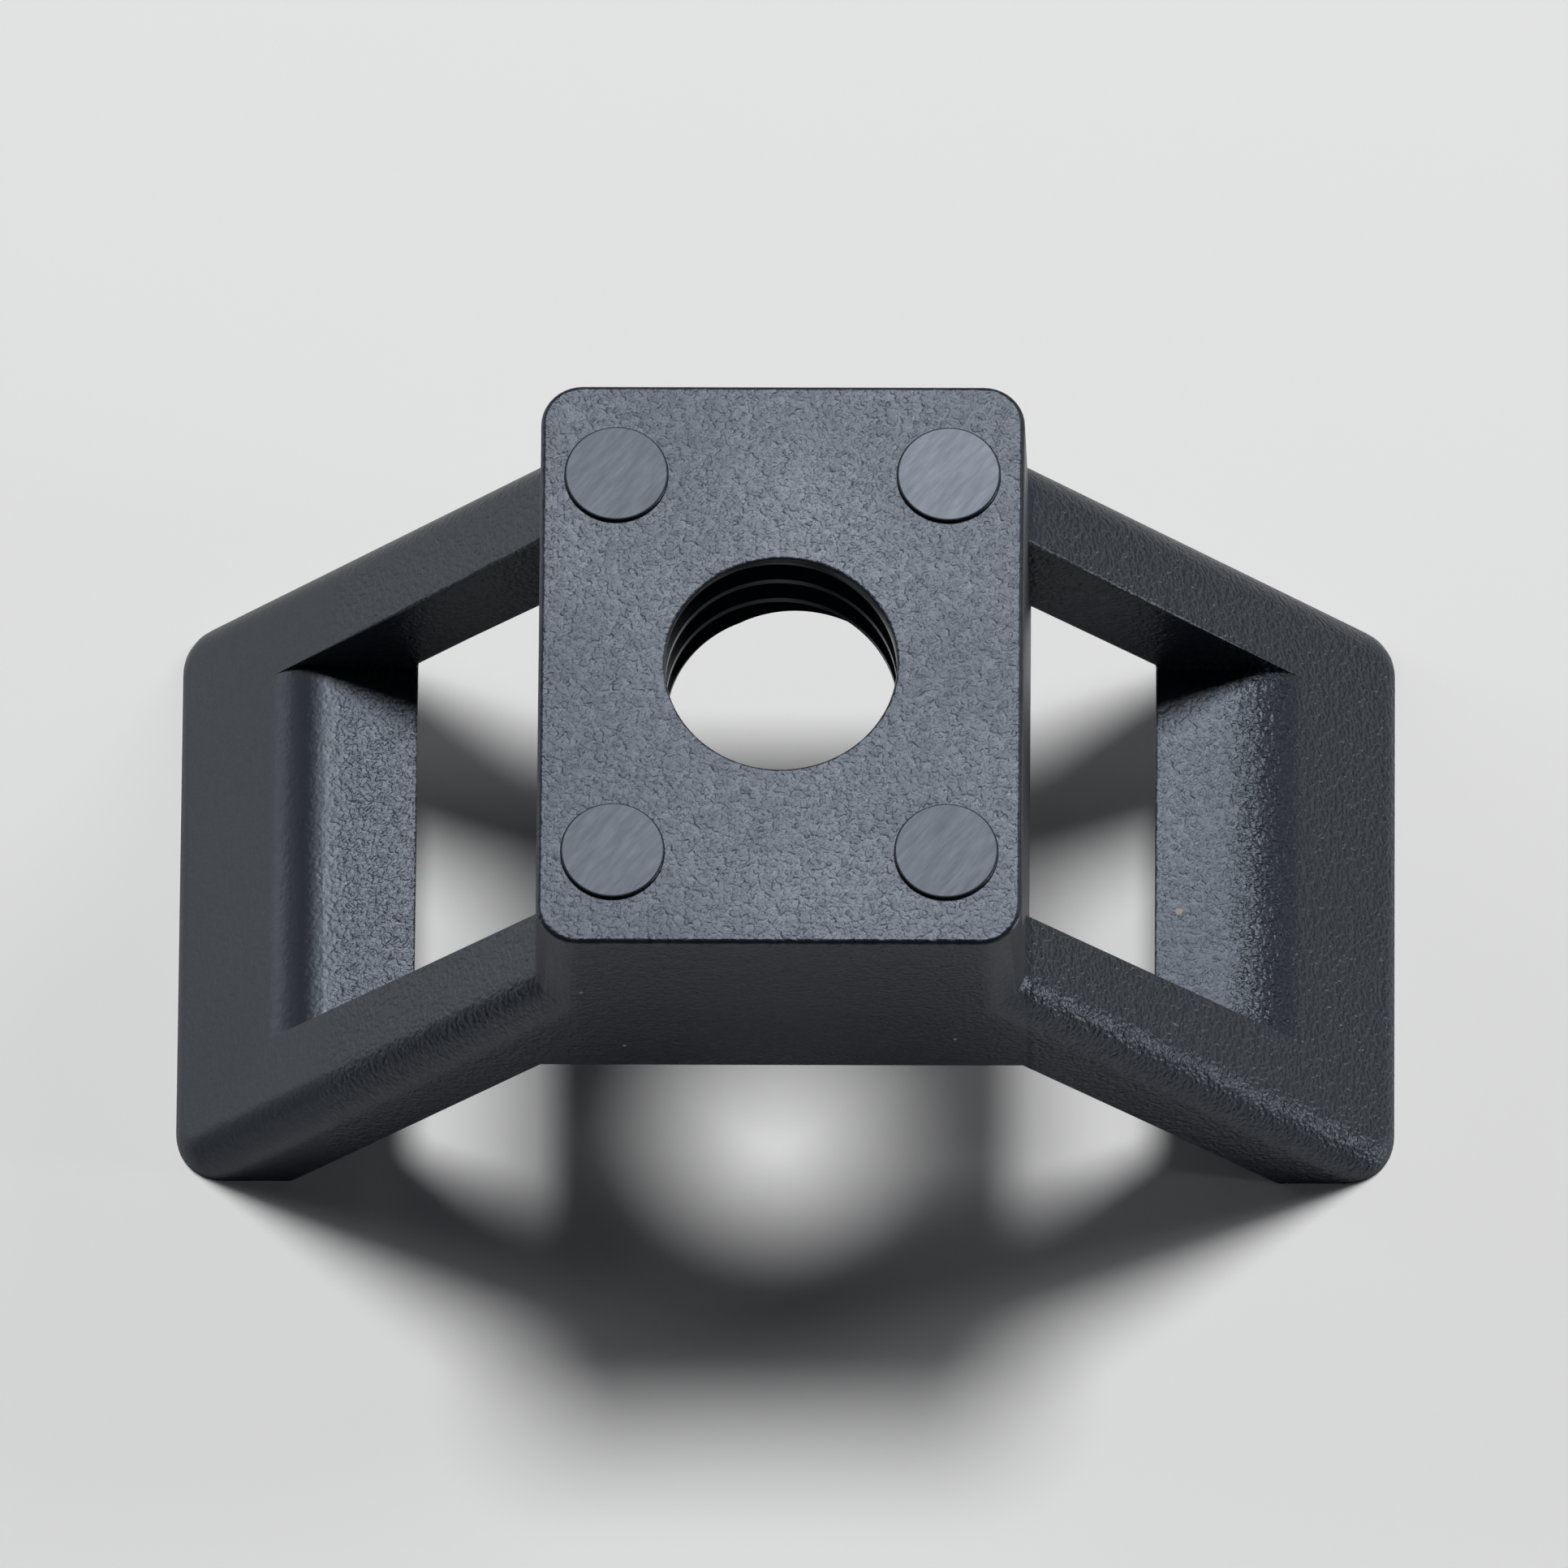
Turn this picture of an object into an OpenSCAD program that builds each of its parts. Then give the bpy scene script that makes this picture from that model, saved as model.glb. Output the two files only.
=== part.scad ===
// Screw-on saddle mount for cable ties, moulded in one piece.
// A threaded base block carries two sloping wings, and each wing has a window
// for the tie. It stands on its wing tips with the base face upwards, so the
// cradle for the cables is underneath. X runs across the wings, Y along them.
// Millimetres.

/* [Base block] */
// Height from the wing tips to the base face
mount_h = 16.4; // [15:0.1:18]
// Width of the block across the wings, at its underside
block_w = 14.2; // [13:0.1:16]
// Length of the block and of the wings
block_l = 17.7; // [17:0.1:22]
// Height of the block from its base face to its underside
block_h = 8.3; // [7.5:0.1:9]
// Radius of the block's upright corners
block_corner_r = 1.2; // [0.6:0.1:1.8]
// Draft of the block's side walls, in degrees
block_draft = 1; // [0:0.1:1.5]

/* [Threaded plate] */
// Diameter of the bore at the crests of the thread
bore_d = 6.65; // [5:0.05:6.9]
// Thickness of the plate that carries the thread
plate_t = 3.8; // [3:0.1:4.6]
// Wall left round the pocket under the plate
pocket_wall = 2.2; // [1.6:0.1:2.6]
// Corner radius of the pocket
pocket_corner_r = 0.8; // [0.4:0.1:1.4]

/* [Ejector pads] */
// Diameter of each pad
pad_d = 3; // [2:0.1:3.4]
// Height of each pad above the base face
pad_h = 0.15; // [0.05:0.05:0.3]
// Spacing of the pads across the wings
pad_spacing_x = 9.55; // [9:0.05:9.6]
// Spacing of the pads along the wings
pad_spacing_y = 11.95; // [10:0.05:12.4]

/* [Wings] */
// Slope of the wings below the horizontal, in degrees
wing_angle = 48.5; // [42:0.5:54]
// Thickness of a wing, square to its slope
wing_t = 2.75; // [2.2:0.05:3.2]
// How far inside the block's sides the undersides of the wings start
wing_inset = 0.15; // [0:0.05:0.4]
// Radius of the upper edges, along the slope and round the tip
wing_edge_r = 1.2; // [0.8:0.1:1.6]
// Height where the slope and the outer end would meet in a sharp edge
tip_land = 0.1; // [0.05:0.05:0.2]

/* [Tie windows] */
// Length of a window at the height of its tie bar
window_l = 11.65; // [8:0.05:12.4]
// Draft of the window's end walls, in degrees
window_draft = 0.5; // [0:0.1:1.5]
// Height of the tie bar's flat shelf above the wing tips
tie_bar_h = 3.95; // [3:0.05:4.6]
// Radius where the shelf rolls over into the wing's slope
shelf_edge_r = 1; // [0.4:0.1:1.6]

/* [Hidden] */
$fn = 96;
// Overlap that lets joined and cut solids run past each other
eps = 1;
plastic_colour = [0.10, 0.105, 0.115];

underside_z = mount_h - block_h;
plate_z = mount_h - plate_t;
// Height of a wing measured straight up through its slope
wing_rise = wing_t / cos(wing_angle);
// Where the undersides of the wings start
under_x = block_w / 2 - wing_inset;
// Distance from the middle to the outer end of a wing, above its rounded nose
tip_x = under_x + (underside_z + wing_rise - tip_land) / tan(wing_angle);
// Where the wings start inside the block, behind its rounded corners
root_x = block_w / 2 - block_corner_r;
// Depth of wing section that fills in under those corners
root_depth = block_corner_r * sin(wing_angle) + eps;
// Length of slope that reaches back over them
root_l = (block_corner_r + wing_rise) / cos(wing_angle);
// Length of slope that reaches past the rest plane
slope_l = underside_z / sin(wing_angle) + wing_t + eps;

// Rectangle w by l about the origin, with corners of radius r
module rounded_rect(w, l, r) {
    square([w - 2 * r, l], center = true);
    square([w, l - 2 * r], center = true);
    for (x = [-1, 1], y = [-1, 1])
        translate([x * (w / 2 - r), y * (l / 2 - r)])
            circle(r);
}

// One drafted side of the block. The other side lies far beyond it.
module drafted_side() {
    reach = 2 * block_w;
    translate([block_w / 2, 0, underside_z])
        rotate([0, -block_draft, 0])
            translate([-reach / 2, 0, -eps])
                linear_extrude(block_h + 2 * eps)
                    rounded_rect(reach, block_l, block_corner_r);
}

// Block with two drafted side walls and upright rounded corners
module base_block() {
    intersection() {
        drafted_side();
        mirror([1, 0, 0])
            drafted_side();
        translate([-block_w, -block_l, underside_z])
            cube([2 * block_w, 2 * block_l, block_h]);
    }
}

// Cross-section of a wing's top: upper edges rounded, sides reaching down
module wing_section() {
    half_l = block_l / 2;
    translate([-half_l, -root_depth])
        square([block_l, root_depth + wing_t - wing_edge_r]);
    translate([-half_l + wing_edge_r, -root_depth])
        square([block_l - 2 * wing_edge_r, root_depth + wing_t]);
    for (side = [-1, 1])
        translate([side * (half_l - wing_edge_r), wing_t - wing_edge_r])
            circle(wing_edge_r);
}

// The section swept down the slope, from inside the block past the rest plane
module sloping_slab() {
    translate([under_x, 0, underside_z])
        rotate([0, wing_angle, 0])
            translate([-root_l, 0, 0])
                rotate([90, 0, 90])
                    linear_extrude(root_l + slope_l)
                        wing_section();
}

// Side view of a wing: sloping underside, flat foot and rounded nose. The nose
// touches the slope and the outer end, and its centre lies below the rest plane.
module wing_side() {
    foot_x = under_x + underside_z / tan(wing_angle);
    nose_x = tip_x - wing_edge_r;
    nose_z = tip_land - wing_edge_r * tan(45 - wing_angle / 2);
    // Where the slope runs into the nose
    blend_x = nose_x + wing_edge_r * sin(wing_angle);
    blend_z = nose_z + wing_edge_r * cos(wing_angle);
    translate([0, block_l, 0])
        rotate([90, 0, 0])
            linear_extrude(2 * block_l) {
                polygon([
                    [root_x, underside_z],
                    [under_x, underside_z],
                    [foot_x, 0],
                    [nose_x, 0],
                    [blend_x, blend_z],
                    [blend_x, mount_h - eps],
                    [root_x, mount_h - eps]
                ]);
                intersection() {
                    translate([nose_x, nose_z])
                        circle(wing_edge_r);
                    translate([nose_x, 0])
                        square(wing_edge_r);
                }
            }
}

// Window seen along the wings. It narrows downwards.
module window_ends() {
    top_z = mount_h + eps;
    flare = (top_z - tie_bar_h) * tan(window_draft);
    sink = tie_bar_h * tan(window_draft);
    translate([root_x - eps, 0, 0])
        rotate([90, 0, 90])
            linear_extrude(tip_x)
                polygon([
                    [sink - window_l / 2, 0],
                    [window_l / 2 - sink, 0],
                    [window_l / 2 + flare, top_z],
                    [-window_l / 2 - flare, top_z]
                ]);
}

// Window seen from the side. Its floor is the bar's flat shelf, whose outer
// edge rolls over into the slope.
module window_side() {
    top_z = mount_h + eps;
    // Where the flat shelf ends, and where the slope takes over
    shelf_x = tip_x - (tie_bar_h - tip_land) / tan(wing_angle)
        - shelf_edge_r * tan(wing_angle / 2);
    roll_x = shelf_x + shelf_edge_r * sin(wing_angle);
    roll_z = tie_bar_h - shelf_edge_r * (1 - cos(wing_angle));
    translate([0, block_l, 0])
        rotate([90, 0, 0])
            linear_extrude(2 * block_l)
                difference() {
                    polygon([
                        [root_x, tie_bar_h],
                        [shelf_x, tie_bar_h],
                        [roll_x, roll_z],
                        [roll_x, top_z],
                        [root_x, top_z]
                    ]);
                    translate([shelf_x, tie_bar_h - shelf_edge_r])
                        circle(shelf_edge_r);
                }
}

// Window between the block and the tie bar, open above and below the wing
module tie_window() {
    intersection() {
        window_ends();
        window_side();
    }
}

// One wing with its window cut out
module wing() {
    difference() {
        intersection() {
            sloping_slab();
            wing_side();
        }
        tie_window();
    }
}

// Pocket in the underside, which clears the end of the screw
module screw_pocket() {
    translate([0, 0, underside_z - eps])
        linear_extrude(plate_z - underside_z + eps)
            rounded_rect(
                block_w - 2 * pocket_wall,
                block_l - 2 * pocket_wall,
                pocket_corner_r
            );
}

module thread_bore() {
    translate([0, 0, plate_z - eps])
        cylinder(h = plate_t + 2 * eps, d = bore_d);
}

// Four low round pads left by the ejector pins
module ejector_pads() {
    for (x = [-1, 1], y = [-1, 1])
        translate([x * pad_spacing_x / 2, y * pad_spacing_y / 2, mount_h - eps])
            cylinder(h = eps + pad_h, d = pad_d);
}

module mount_body() {
    color(plastic_colour)
        union() {
            difference() {
                union() {
                    base_block();
                    wing();
                    mirror([1, 0, 0])
                        wing();
                }
                screw_pocket();
                thread_bore();
            }
            ejector_pads();
        }
}

mount_body();
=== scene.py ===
from math import cos, hypot, pi, radians, sin, tan

import bpy
from mathutils import Matrix, Vector


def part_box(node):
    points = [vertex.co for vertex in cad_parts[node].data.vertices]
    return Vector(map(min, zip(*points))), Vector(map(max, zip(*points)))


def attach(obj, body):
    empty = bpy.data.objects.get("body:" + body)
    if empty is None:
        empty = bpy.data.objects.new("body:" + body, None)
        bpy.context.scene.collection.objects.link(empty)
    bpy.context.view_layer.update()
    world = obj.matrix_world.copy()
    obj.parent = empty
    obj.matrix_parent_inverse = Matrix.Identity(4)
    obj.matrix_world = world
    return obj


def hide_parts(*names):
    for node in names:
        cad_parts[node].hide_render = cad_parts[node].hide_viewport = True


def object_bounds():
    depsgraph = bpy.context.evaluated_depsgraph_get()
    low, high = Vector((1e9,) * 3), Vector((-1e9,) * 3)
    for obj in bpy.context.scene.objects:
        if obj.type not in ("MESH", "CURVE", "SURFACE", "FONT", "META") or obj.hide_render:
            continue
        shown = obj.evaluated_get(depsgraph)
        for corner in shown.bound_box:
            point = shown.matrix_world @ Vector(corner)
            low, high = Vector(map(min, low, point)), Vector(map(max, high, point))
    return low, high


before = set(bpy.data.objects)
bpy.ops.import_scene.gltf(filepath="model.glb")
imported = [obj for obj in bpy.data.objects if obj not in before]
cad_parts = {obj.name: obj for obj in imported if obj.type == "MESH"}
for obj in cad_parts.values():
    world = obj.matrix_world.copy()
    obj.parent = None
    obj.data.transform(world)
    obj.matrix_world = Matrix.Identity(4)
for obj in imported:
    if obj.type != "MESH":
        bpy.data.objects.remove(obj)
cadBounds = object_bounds()
mm = 0.001    # pieces are modelled in millimetres and scaled to metres when they are done


# small helpers for modelling

def useOnly(piece):
    bpy.ops.object.select_all(action="DESELECT")
    piece.select_set(True)
    bpy.context.view_layer.objects.active = piece


def edit(piece, selectMode):
    useOnly(piece)
    bpy.ops.object.mode_set(mode="EDIT")
    bpy.ops.mesh.select_mode(type=selectMode)
    bpy.ops.mesh.select_all(action="DESELECT")
    bpy.ops.object.mode_set(mode="OBJECT")


def pickEdges(piece, test):
    # enters edit mode with the edges selected whose two ends together pass the test
    edit(piece, "EDGE")
    points = [vertex.co for vertex in piece.data.vertices]
    for edge in piece.data.edges:
        edge.select = test(*(points[i] for i in edge.vertices))
    bpy.ops.object.mode_set(mode="EDIT")


def pickFaces(piece, test):
    # enters edit mode with the faces selected whose centre and normal pass the test
    edit(piece, "FACE")
    for face in piece.data.polygons:
        face.select = test(face.center, face.normal)
    bpy.ops.object.mode_set(mode="EDIT")


def leaveEdit():
    bpy.ops.object.mode_set(mode="OBJECT")


def applyModifier(piece, kind, **settings):
    useOnly(piece)
    modifier = piece.modifiers.new(kind.title(), kind)
    for key, value in settings.items():
        setattr(modifier, key, value)
    bpy.ops.object.modifier_apply(modifier=modifier.name)


def combine(piece, tool, operation):
    # boolean of two closed pieces, which uses the tool up
    applyModifier(piece, "BOOLEAN", object=tool, operation=operation, solver="EXACT")
    bpy.data.objects.remove(tool)


def near(a, b):
    return abs(a - b) < 1e-4


def mergeDoubles(piece):
    # booleans leave pairs of vertices less than a thousandth of a millimetre apart
    useOnly(piece)
    bpy.ops.object.mode_set(mode="EDIT")
    bpy.ops.mesh.select_all(action="SELECT")
    bpy.ops.mesh.remove_doubles(threshold=1e-3)
    leaveEdit()


def pickSharp(piece, angle, test):
    # enters edit mode with the sharp edges selected whose two ends pass the test
    edit(piece, "EDGE")
    bpy.ops.object.mode_set(mode="EDIT")
    bpy.ops.mesh.edges_select_sharp(sharpness=angle)
    leaveEdit()
    sharp = [edge.index for edge in piece.data.edges if edge.select]
    edit(piece, "EDGE")
    points = [vertex.co for vertex in piece.data.vertices]
    for index in sharp:
        edge = piece.data.edges[index]
        edge.select = test(*(points[i] for i in edge.vertices))
    bpy.ops.object.mode_set(mode="EDIT")


def prism(name, corners, reach):
    # closed prism: a flat outline of corners in space, extruded by the vector reach
    bpy.ops.object.select_all(action="DESELECT")
    bpy.ops.mesh.primitive_circle_add(vertices=len(corners), fill_type="NGON")
    piece = bpy.context.object
    piece.name = name
    for vertex, corner in zip(piece.data.vertices, corners):
        vertex.co = corner
    useOnly(piece)
    bpy.ops.object.mode_set(mode="EDIT")
    bpy.ops.mesh.select_all(action="SELECT")
    bpy.ops.mesh.extrude_region_move(TRANSFORM_OT_translate={"value": reach})
    bpy.ops.mesh.select_all(action="SELECT")
    bpy.ops.mesh.normals_make_consistent(inside=False)
    leaveEdit()
    return piece


def box(name, low, high):
    size = Vector(high) - Vector(low)
    middle = (Vector(high) + Vector(low)) / 2
    bpy.ops.object.select_all(action="DESELECT")
    bpy.ops.mesh.primitive_cube_add(size=1, location=middle, scale=size)
    piece = bpy.context.object
    piece.name = name
    bpy.ops.object.transform_apply(location=True, rotation=True, scale=True)
    return piece


def bevel(offset, segments):
    # rounds the edges that are selected in edit mode, and leaves it
    bpy.ops.mesh.bevel(offset=offset, segments=segments, affect="EDGES")
    leaveEdit()


def roundUprights(piece, radius, segments):
    # rounds the four upright corner edges of a box
    pickEdges(piece, lambda a, b: abs(a.z - b.z) > hypot(a.x - b.x, a.y - b.y))
    bevel(radius, segments)


# the moulding, in millimetres

mould = {
    "blockWidth": 14.2,      # at the block's underside
    "blockHeight": 8.3,
    "cornerRadius": 1.2,     # the block's upright corners
    "draft": radians(1),     # lean of the block's two sides
    "plate": 3.8,            # thickness of the threaded plate
    "pocketWall": 2.2,
    "pocketCorner": 0.8,
    "wingSlope": radians(48.5),
    "wingThickness": 2.75,
    "wingInset": 0.15,       # the undersides of the wings start inside the block's sides
    "wingEdge": 1.2,         # upper edges, and the nose at the tip
    "wingCorner": 1.5,       # outer corners of a wing, seen square to its slope
    "tipLand": 0.1,          # height of the sharp corner that the nose rounds off
    "window": 11.65,         # length of a window at its shelf
    "windowDraft": radians(0.5),
    "shelf": 3.95,           # height of the tie bar's flat shelf
    "shelfEdge": 2.2,        # where the shelf rolls over into the slope
    "edge": 0.16,            # rounding that the mould leaves on sharp edges
    "spare": 1,              # how far tools and joined solids run past each other
    "padHeight": 0.15,       # above the face
    "hair": 0.01,            # gap that keeps two flats from sharing a plane
    "sharp": radians(28),    # edges sharper than this are rounded
}
low, high = (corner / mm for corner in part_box("mount_body"))
topZ = high.z - mould["padHeight"]
halfWidth = mould["blockWidth"] / 2
halfLength = high.y
undersideZ = topZ - mould["blockHeight"]
plateZ = topZ - mould["plate"]
rootX = halfWidth - mould["cornerRadius"]
underX = halfWidth - mould["wingInset"]


def makeWing():
    angle, radius, spare = mould["wingSlope"], mould["wingEdge"], mould["spare"]
    slope = tan(angle)
    # sharp corner between the slope and the outer end, and the centre of the rounded nose
    tipX = underX + (undersideZ + mould["wingThickness"] / cos(angle) - mould["tipLand"]) / slope
    noseX = tipX - radius
    noseZ = mould["tipLand"] - radius * tan((pi / 2 - angle) / 2)

    # a slab in the slope's own frame, rounded along its upper edges and round the nose
    end = (noseX - underX) * cos(angle) - (noseZ - undersideZ) * sin(angle) + radius
    start = -mould["blockHeight"]
    top = mould["wingThickness"]
    bottom = -3 * spare
    wing = box("wing", (start, -halfLength, bottom), (end, halfLength, top))
    pickEdges(wing, lambda a, b: near(a.x, end) and near(b.x, end) and near(a.y, b.y))
    bevel(mould["wingCorner"], 10)
    root = start + spare
    pickEdges(wing, lambda a, b: near(a.z, top) and near(b.z, top) and max(a.x, b.x) > root)
    bevel(radius, 8)
    wing.data.transform(
        Matrix.Translation((underX, 0, undersideZ)) @ Matrix.Rotation(angle, 4, "Y")
    )

    # side view; the flat at the root lies a hair above the block's underside
    hair = mould["hair"]
    side = [
        (rootX, undersideZ + hair),
        (underX - hair / slope, undersideZ + hair),
        (underX + undersideZ / slope, 0),
        (tipX + spare, 0),
        (tipX + spare, topZ - spare),
        (rootX, topZ - spare),
    ]
    reach = (0, 4 * halfLength, 0)
    combine(wing, prism("side", [(x, -2 * halfLength, z) for x, z in side], reach), "INTERSECT")

    # the window is open above and below; its floor is the flat shelf, with a round outer edge
    shelf, roll = mould["shelf"], mould["shelfEdge"]
    shelfX = tipX - (shelf - mould["tipLand"]) / slope - roll * tan(angle / 2)
    floor = [(rootX - spare, topZ), (rootX - spare, shelf), (shelfX, shelf)]
    for step in range(1, 9):
        turn = angle * step / 8
        floor.append((shelfX + roll * sin(turn), shelf - roll * (1 - cos(turn))))
    # past the rolled edge the tool rises clear of the slope
    edgeX, edgeZ = floor[-1]
    floor += [(edgeX + spare, edgeZ - 0.7 * spare * slope), (tipX + spare, topZ)]
    opening = prism("window", [(x, -2 * halfLength, z) for x, z in floor], reach)
    flare = (topZ - shelf) * tan(mould["windowDraft"])
    sink = shelf * tan(mould["windowDraft"])
    half = mould["window"] / 2
    ends = [(-half + sink, 0), (half - sink, 0), (half + flare, topZ), (-half - flare, topZ)]
    inside = rootX - 2 * spare
    reach = (2 * tipX, 0, 0)
    combine(opening, prism("ends", [(inside, y, z) for y, z in ends], reach), "INTERSECT")
    combine(wing, opening, "DIFFERENCE")
    mergeDoubles(wing)

    def wanted(a, b):
        # clear of the root and the foot, and not where a window's end dies out over the rolled edge
        outer, upper = max(a.x, b.x), max(a.z, b.z)
        if outer <= underX + hair or upper <= hair:
            return False
        fading = outer > shelfX + hair and upper < shelf + 0.45
        return not (fading and abs(a.y - b.y) < spare and abs(a.y) < half + 0.3)

    pickSharp(wing, mould["sharp"], wanted)
    bevel(mould["edge"], 3)
    return wing


def makeBlock():
    lean = mould["blockHeight"] * tan(mould["draft"])
    # the top is narrowed for the draft, then the corners and the face's edge are rounded
    block = box("block", (-halfWidth, -halfLength, undersideZ), (halfWidth, halfLength, topZ))
    pickFaces(block, lambda centre, normal: normal.z > 0.5)
    bpy.ops.transform.resize(value=(1 - lean / halfWidth, 1, 1))
    leaveEdit()
    roundUprights(block, mould["cornerRadius"], 10)
    pickFaces(block, lambda centre, normal: normal.z > 0.5)
    bpy.ops.mesh.region_to_loop()
    bevel(mould["edge"], 3)

    pocketX = halfWidth - mould["pocketWall"]
    pocketY = halfLength - mould["pocketWall"]
    pocketZ = undersideZ - mould["spare"]
    pocket = box("pocket", (-pocketX, -pocketY, pocketZ), (pocketX, pocketY, plateZ))
    roundUprights(pocket, mould["pocketCorner"], 6)
    combine(block, pocket, "DIFFERENCE")

    # plain bore first, so that its edge can be rounded before the thread is cut
    bpy.ops.object.select_all(action="DESELECT")
    bpy.ops.mesh.primitive_cylinder_add(
        vertices=thread["steps"], radius=thread["bore"], depth=4 * mould["plate"],
        location=(0, 0, topZ),
    )
    bore = bpy.context.object
    bpy.ops.object.transform_apply(location=True, rotation=True, scale=True)
    combine(block, bore, "DIFFERENCE")
    rim = thread["bore"] * 1.01
    pickEdges(block, lambda a, b: near(a.z, topZ) and near(b.z, topZ) and hypot(a.x, a.y) < rim)
    bevel(thread["rim"], 2)
    mergeDoubles(block)
    return block


# the thread, in millimetres

thread = {
    "bore": 6.65 / 2,      # radius at the crests
    "groove": 8.0 / 2,     # radius at the bottom of the groove
    "pitch": 1.25,
    "fade": 0.5,           # the groove dies out over this depth under the face
    "steps": 128,          # to a turn
    "rim": 0.1,            # rounding of the hole's edge
    "clearance": 0.03,     # the tap's crests stay this far inside the bore
}


def makeTap():
    # a tooth profile wound up with Screw; its crests lie just inside the bore
    inner = thread["bore"] - thread["clearance"]
    groove, pitch = thread["groove"], thread["pitch"]
    flank = (groove - inner) * tan(radians(30))
    flat = (pitch - 2 * flank) / 2
    start = plateZ - 1.5 * pitch
    profile = [
        (inner, 0),
        (inner, flat),
        (groove, flat + flank),
        (groove, pitch - flank),
        (inner, pitch),
    ]
    bpy.ops.object.select_all(action="DESELECT")
    bpy.ops.mesh.primitive_circle_add(vertices=len(profile), fill_type="NOTHING")
    tap = bpy.context.object
    tap.name = "tap"
    for vertex, (radius, z) in zip(tap.data.vertices, profile):
        vertex.co = (radius, 0, start + z)
    # the circle's closing edge goes, which leaves the profile open
    closing = {0, len(profile) - 1}
    edit(tap, "EDGE")
    for edge in tap.data.edges:
        edge.select = set(edge.vertices) == closing
    bpy.ops.object.mode_set(mode="EDIT")
    bpy.ops.mesh.delete(type="EDGE")
    leaveEdit()
    applyModifier(
        tap, "SCREW", axis="Z", screw_offset=pitch, iterations=int(mould["plate"] / pitch) + 4,
        steps=thread["steps"], render_steps=thread["steps"], use_smooth_shade=False,
    )
    mergeDoubles(tap)

    # the groove dies out just under the face, so the hole's edge stays a plain circle
    for vertex in tap.data.vertices:
        radius = hypot(vertex.co.x, vertex.co.y)
        depth = (topZ - 2 * thread["rim"] - vertex.co.z) / thread["fade"]
        share = min(max(depth, 0), 1)
        wanted = inner + (radius - inner) * share * share * (3 - 2 * share)
        vertex.co.x *= wanted / radius
        vertex.co.y *= wanted / radius

    # each open end gets a face, which is poked into a fan round the axis
    for side in (-1, 1):
        edit(tap, "EDGE")
        bpy.ops.object.mode_set(mode="EDIT")
        bpy.ops.mesh.select_non_manifold(extend=False)
        leaveEdit()
        points = [vertex.co for vertex in tap.data.vertices]
        for edge in tap.data.edges:
            middle = sum(points[i].z for i in edge.vertices) / 2
            edge.select = edge.select and (middle - (plateZ + topZ) / 2) * side > 0
        bpy.ops.object.mode_set(mode="EDIT")
        bpy.ops.mesh.edge_face_add()
        bpy.ops.mesh.poke()
        leaveEdit()
    useOnly(tap)
    bpy.ops.object.mode_set(mode="EDIT")
    bpy.ops.mesh.select_all(action="SELECT")
    bpy.ops.mesh.normals_make_consistent(inside=False)
    leaveEdit()
    return tap


# ejector pads, in millimetres

pads = {
    "radius": 1.5,
    "x": 9.55 / 2,         # places from the middle
    "y": 11.95 / 2,
    "edge": 0.08,
}


def makePad(x, y):
    # low round pad; its foot is sunk in the block
    height, spare = mould["padHeight"], mould["spare"]
    bpy.ops.object.select_all(action="DESELECT")
    bpy.ops.mesh.primitive_cylinder_add(
        vertices=64, radius=pads["radius"], depth=height + spare,
        location=(x, y, topZ + (height - spare) / 2),
    )
    pad = bpy.context.object
    bpy.ops.object.transform_apply(location=True, rotation=True, scale=True)
    pickEdges(pad, lambda a, b: near(a.z, topZ + height) and near(b.z, topZ + height))
    bevel(pads["edge"], 2)
    return pad


def makeBody():
    body = makeBlock()
    print("block:", len(body.data.polygons), "faces")
    right = makeWing()
    print("wing:", len(right.data.polygons), "faces")
    # the left wing is the right one turned half round
    left = right.copy()
    left.data = right.data.copy()
    bpy.context.collection.objects.link(left)
    left.data.transform(Matrix.Diagonal((-1, -1, 1, 1)))
    for wing in (right, left):
        combine(body, wing, "UNION")
        mergeDoubles(body)
    for x in (-pads["x"], pads["x"]):
        for y in (-pads["y"], pads["y"]):
            combine(body, makePad(x, y), "UNION")
    print("wings and pads joined")
    combine(body, makeTap(), "DIFFERENCE")
    mergeDoubles(body)
    print("thread cut:", len(body.data.polygons), "faces")
    body.name = "mountBody"
    body.data.transform(Matrix.Scale(mm, 4))
    useOnly(body)
    bpy.ops.object.shade_smooth_by_angle(angle=radians(30))
    applyModifier(body, "WEIGHTED_NORMAL", keep_sharp=True)
    return body


body = makeBody()
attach(body, "root")
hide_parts("mount_body")


# camera, far off and nearly square to the face

cameraSet = {
    "elevation": 64.81,      # degrees
    "turn": -1.75,
    "roll": 1.44,
    "distance": 1173.8 * mm,
    "fill": 0.78,            # share of the frame's width that the object takes
}


def makeCamera():
    data = bpy.data.cameras.new("camera")
    camera = bpy.data.objects.new("camera", data)
    bpy.context.collection.objects.link(camera)
    lowest, highest = cadBounds
    centre = (lowest + highest) / 2
    e, a = radians(cameraSet["elevation"]), radians(cameraSet["turn"])
    towards = Vector((-cos(e) * sin(a), -cos(e) * cos(a), sin(e)))
    right = Vector((cos(a), -sin(a), 0))
    up = towards.cross(right)
    turn = Matrix.Rotation(-radians(cameraSet["roll"]), 3, towards)
    axes = Matrix((turn @ right, turn @ up, towards)).transposed().to_4x4()
    camera.matrix_world = Matrix.Translation(centre + towards * cameraSet["distance"]) @ axes
    width = (highest.x - lowest.x) / cameraSet["fill"]
    data.sensor_width = 36
    data.lens = 36 * cameraSet["distance"] / width
    data.clip_end = 10
    bpy.context.scene.camera = camera


makeCamera()
print("camera")


# floor and light

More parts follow.
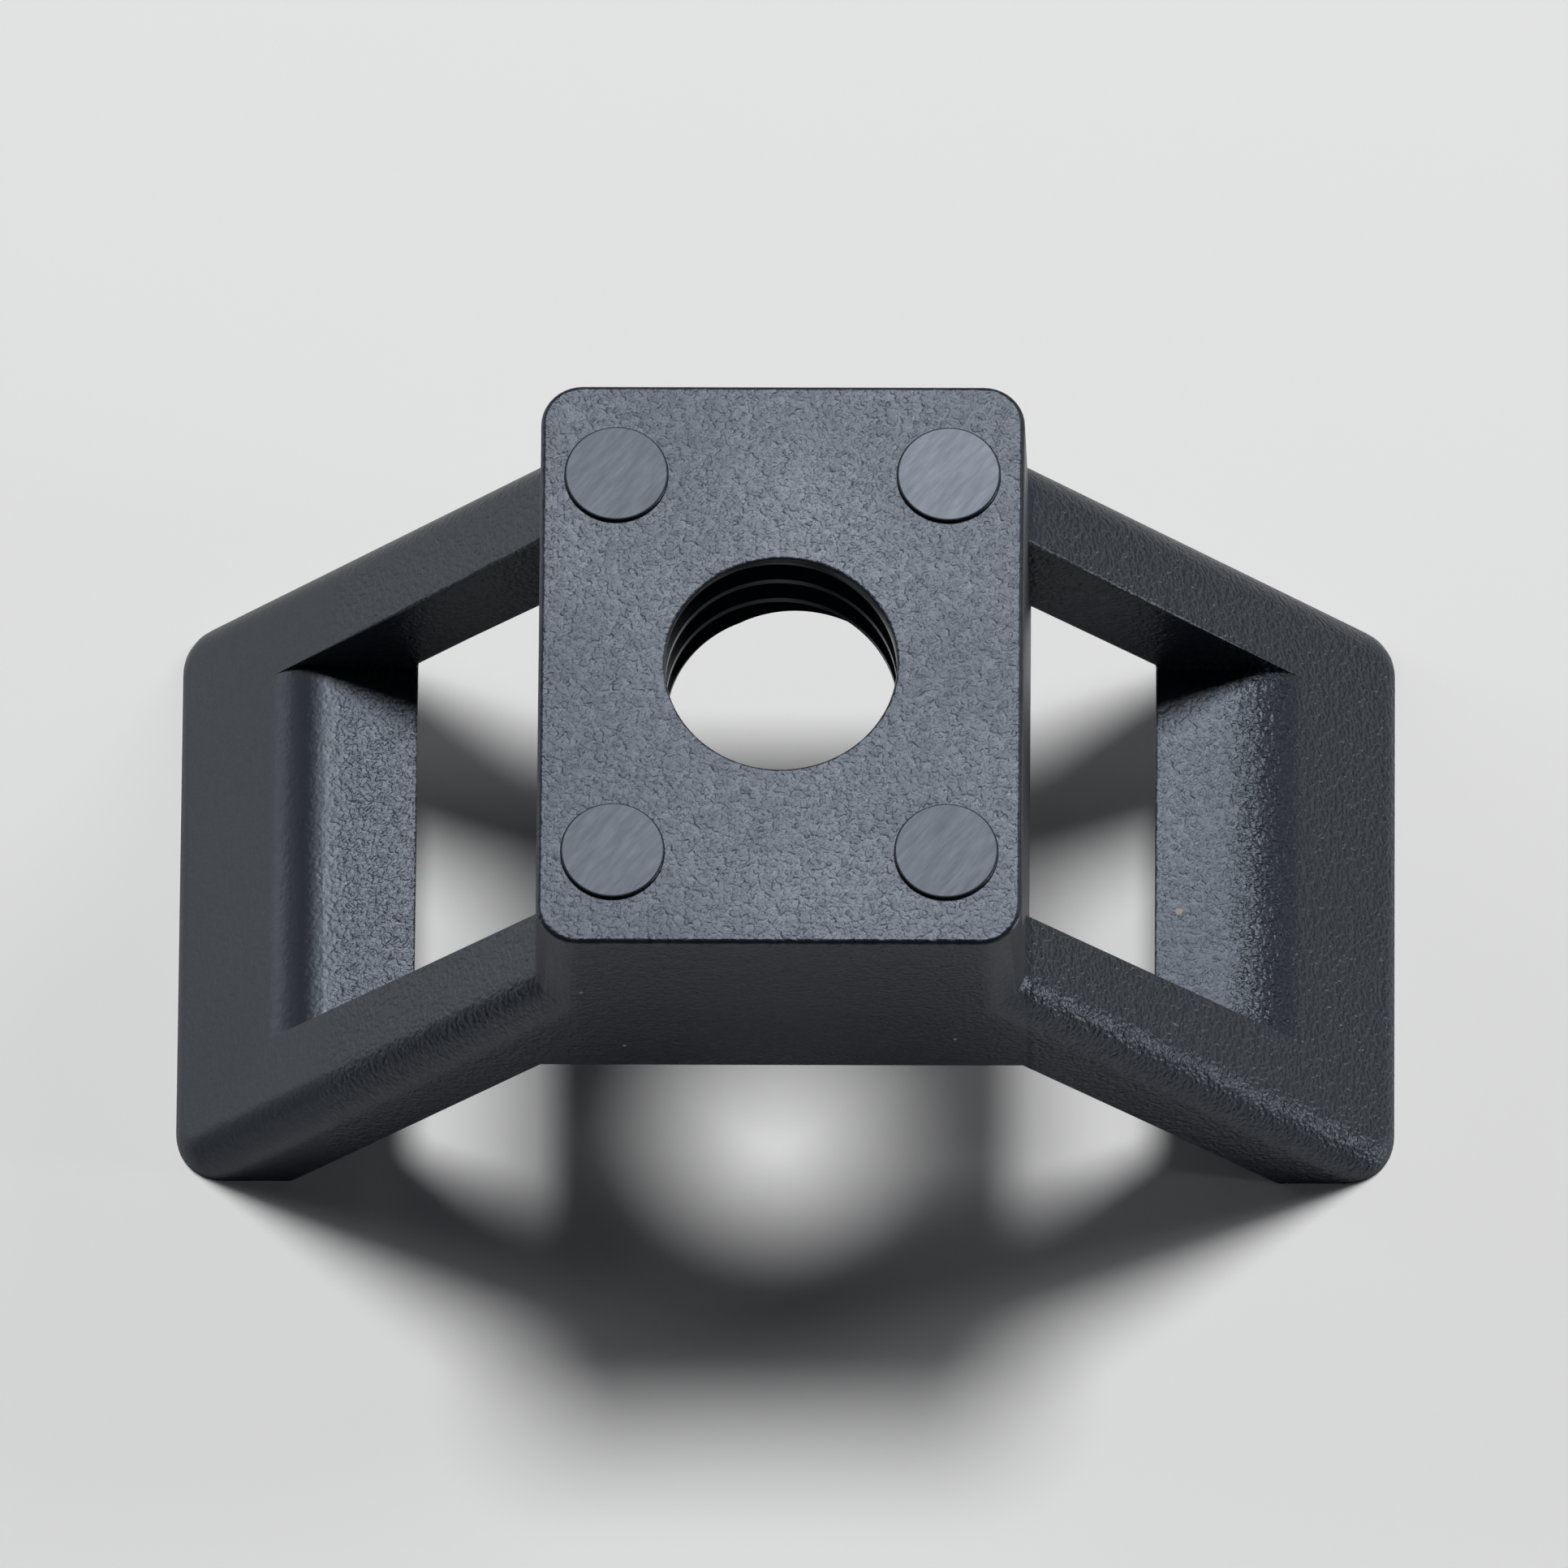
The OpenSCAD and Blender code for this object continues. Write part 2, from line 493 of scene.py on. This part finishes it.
def makeFloor():
    bpy.ops.object.select_all(action="DESELECT")
    bpy.ops.mesh.primitive_plane_add(size=6)
    floor = bpy.context.object
    floor.name = "floor"
    material = bpy.data.materials.new("paleFloor")
    material.use_nodes = True
    shader = material.node_tree.nodes["Principled BSDF"]
    shader.inputs["Base Color"].default_value = (0.86, 0.86, 0.86, 1)
    shader.inputs["Roughness"].default_value = 0.9
    shader.inputs["Specular IOR Level"].default_value = 0.0
    floor.data.materials.append(material)


def makeLamp(name, azimuth, elevation, distance, size, radiance):
    # azimuth 0 is behind the object, and 90 is to its right
    a, e = radians(azimuth), radians(elevation)
    direction = Vector((sin(a) * cos(e), cos(a) * cos(e), sin(e)))
    data = bpy.data.lights.new(name, "AREA")
    data.shape = "DISK"
    data.size = size
    data.energy = radiance * (pi * size / 2) ** 2
    lamp = bpy.data.objects.new(name, data)
    bpy.context.collection.objects.link(lamp)
    lamp.location = direction * distance
    lamp.rotation_euler = direction.to_track_quat("Z", "Y").to_euler()


makeFloor()
lamps = {
    # name: azimuth, elevation, distance, diameter, radiance
    "key": (3, 64, 0.8, 0.24, 35.0),
    "leftShoulder": (-58, 37, 0.7, 0.20, 1.8),
    "rightShoulder": (58, 37, 0.7, 0.20, 6.0),
    "leftCard": (-65, 10, 0.6, 0.30, 3.1),
    "rightCard": (58, 11, 0.6, 0.08, 4.0),
    "kicker": (98, 3, 0.6, 0.06, 120.0),
}
for name, (azimuth, elevation, distance, size, radiance) in lamps.items():
    makeLamp(name, azimuth, elevation, distance, size, radiance)
world = bpy.data.worlds.new("world")
world.use_nodes = True
world.node_tree.nodes["Background"].inputs["Color"].default_value = (0.015, 0.016, 0.02, 1)
bpy.context.scene.world = world
bpy.context.scene.view_settings.view_transform = "Standard"
print("floor and", len(lamps), "lamps")


# black nylon

class Wire:
    # an output socket that takes part in sums
    def __init__(self, tree, socket):
        self.tree, self.socket = tree, socket

    def node(self, kind, settings=None, sockets=None, output=0):
        # any node: its settings first, then the values or wires of its sockets
        made = self.tree.nodes.new(kind)
        for key, value in (settings or {}).items():
            setattr(made, key, value)
        for key, value in (sockets or {}).items():
            if isinstance(value, Wire):
                self.tree.links.new(value.socket, made.inputs[key])
            else:
                made.inputs[key].default_value = value
        return Wire(self.tree, made.outputs[output])

    def maths(self, operation, first, second=0.0):
        return self.node("ShaderNodeMath", {"operation": operation}, {0: first, 1: second})

    def __add__(self, other):
        return self.maths("ADD", self, other)

    def __sub__(self, other):
        return self.maths("SUBTRACT", self, other)

    def __mul__(self, other):
        return self.maths("MULTIPLY", self, other)

    def __rsub__(self, other):
        return self.maths("SUBTRACT", other, self)

    __radd__ = __add__
    __rmul__ = __mul__

    def ramp(self, start, end):
        # 0 at start, 1 at end, and smooth between them
        settings = {"interpolation_type": "SMOOTHSTEP"}
        sockets = {"Value": self, "From Min": start, "From Max": end}
        return self.node("ShaderNodeMapRange", settings, sockets)

    def mixed(self, first, second):
        # from one colour to another as this share rises
        sockets = {"Factor": self, 6: first, 7: second}
        return self.node("ShaderNodeMix", {"data_type": "RGBA"}, sockets, 2)


nylon = {
    "colour": (0.006, 0.008, 0.012, 1),
    "tint": (0.75, 0.85, 1.0, 1),    # colour of its reflections
    "roughness": 0.4,
    "mottle": 0.1,                   # how far the grain changes the roughness
    "patchScale": 0.12,              # broad patches, to a millimetre
    "patches": 0.12,                 # how far they change the roughness
    "grainScale": 3.8,               # features to a millimetre
    "grainHeight": 0.035,            # millimetres
    "leftTopGrain": -0.65,           # change of the grain's depth on each wing
    "leftShelfGrain": 0.3,
    "rightTopGrain": 1.4,
    "padRoughness": 0.43,
    "brightPad": 0.04,               # how much smoother the pad at the back right is
    "scratchTurn": radians(-50),
    "scratchScale": (1.2, 7, 1),
    "scratchHeight": 0.03,
    "scratchRoughness": 0.1,
    "threadRoughness": 0.3,
}
marks = [
    # small specks: place and radius in millimetres, colour
    ((11.4, -2.0, 3.95), 0.14, (0.20, 0.15, 0.07, 1)),
    ((-5.7, -8.85, 13.0), 0.07, (0.30, 0.32, 0.35, 1)),
    ((-4.5, -8.85, 9.4), 0.06, (0.30, 0.32, 0.35, 1)),
    ((5.0, -8.85, 9.9), 0.06, (0.30, 0.32, 0.35, 1)),
]


def makeNylon():
    material = bpy.data.materials.new("blackNylon")
    material.use_nodes = True
    tree = material.node_tree
    shader = tree.nodes["Principled BSDF"]
    start = Wire(tree, None)
    place = start.node("ShaderNodeTexCoord", output=3)    # Object
    place = start.node("ShaderNodeMapping", None, {"Vector": place, "Scale": (1 / mm,) * 3})
    x, y, z = (
        start.node("ShaderNodeSeparateXYZ", None, {"Vector": place}, axis) for axis in range(3)
    )

    def noise(scale, detail, vector=place):
        sockets = {"Vector": vector, "Scale": scale, "Detail": detail, "Roughness": 0.6}
        return start.node("ShaderNodeTexNoise", None, sockets)

    # the pads and the thread are smooth, the rest is grained
    pad = z.ramp(topZ + 0.06, topZ + 0.12)
    radius = x.maths("SQRT", x * x + y * y)
    inHole = 1 - radius.ramp(thread["groove"] + 0.02, thread["groove"] + 0.12)
    underFace = 1 - z.ramp(topZ - 0.12, topZ - 0.04)
    hole = inHole * underFace * z.ramp(plateZ - 0.1, plateZ)
    grained = (1 - pad) * (1 - hole)

    # spark-eroded grain in two sizes: faint on the left wing's top, deep on the right one's
    coarse = noise(nylon["grainScale"], 1.0)
    fine = noise(nylon["grainScale"] * 2, 1.0)
    rails = y.maths("ABSOLUTE", y).ramp(5.7, 6.1)
    rightTop = x.ramp(7, 7.3) * rails.maths("MAXIMUM", rails, x.ramp(12.6, 13.8))
    leftTop = 1 - x.ramp(-13.6, -12.6)
    leftShelf = (1 - x.ramp(-8, -6)) * (1 - leftTop)
    depth = 1 + leftTop * nylon["leftTopGrain"] + leftShelf * nylon["leftShelfGrain"]
    depth = depth + rightTop * nylon["rightTopGrain"]
    grain = (coarse * 0.5 + fine * 0.5) * grained * depth

    # fine diagonal scratches on the pads
    turn = (0, 0, nylon["scratchTurn"])
    turned = start.node("ShaderNodeMapping", None, {"Vector": place, "Rotation": turn})
    drawn = {"Vector": turned, "Scale": nylon["scratchScale"]}
    scratches = noise(1.0, 2.0, start.node("ShaderNodeMapping", None, drawn))
    bump = start.node("ShaderNodeBump", None, {
        "Height": grain + scratches * pad * nylon["scratchHeight"],
        "Strength": 1.0,
        "Distance": nylon["grainHeight"] * mm,
    })

    patches = (noise(nylon["patchScale"], 1.0) - 0.5) * nylon["patches"]
    onGrain = nylon["roughness"] + (coarse - 0.5) * nylon["mottle"] * grained + patches
    onPad = nylon["padRoughness"] - x.ramp(0, 4) * y.ramp(0, 4) * nylon["brightPad"]
    onPad = onPad + (scratches - 0.5) * nylon["scratchRoughness"]
    roughness = onGrain * grained + onPad * pad + hole * nylon["threadRoughness"]

    colour = nylon["colour"]
    for spot, size, tone in marks:
        sockets = {0: place, 1: spot}
        away = start.node("ShaderNodeVectorMath", {"operation": "DISTANCE"}, sockets, 1)
        share = 1 - (away + (fine - 0.5) * size).ramp(size * 0.6, size)
        colour = share.mixed(colour, tone)

    tree.links.new(colour.socket, shader.inputs["Base Color"])
    tree.links.new(roughness.socket, shader.inputs["Roughness"])
    tree.links.new(bump.socket, shader.inputs["Normal"])
    shader.inputs["Specular Tint"].default_value = nylon["tint"]
    return material


body.data.materials.clear()
body.data.materials.append(makeNylon())
print("nylon:", len(marks), "specks")
